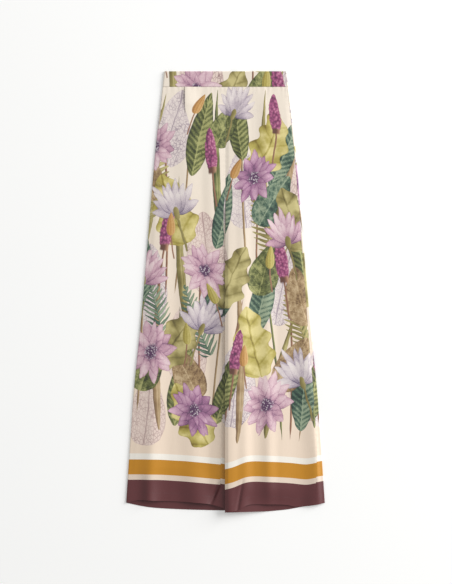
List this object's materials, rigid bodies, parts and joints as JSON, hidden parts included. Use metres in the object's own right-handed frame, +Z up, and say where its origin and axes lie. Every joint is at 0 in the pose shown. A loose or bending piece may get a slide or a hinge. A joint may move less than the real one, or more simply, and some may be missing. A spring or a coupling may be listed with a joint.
{
  "type": "palazzo pants laid flat",
  "caption": "Wide-leg high-waisted satin trousers laid flat with overlapping legs, a plain waistband, pressed front pleats, a botanical print and a striped border at the hem.",
  "frame": {"origin": "centre of the footprint, on the surface the trousers lie on", "axes": "+X to the wearer's left, +Y from the hem to the waist, +Z up through the cloth"},
  "size_m": [0.497, 1.1045, 0.0117],
  "materials": {
    "printed_satin": "soft satin weave in warm cream with a large botanical print, and white, ochre and maroon stripes at the hem"
  },
  "bodies": {
    "root": {"front_right": "printed_satin", "front_left": "printed_satin", "back_right": "printed_satin", "back_left": "printed_satin", "waistband_front": "printed_satin", "waistband_back": "printed_satin"}
  },
  "joints": []
}
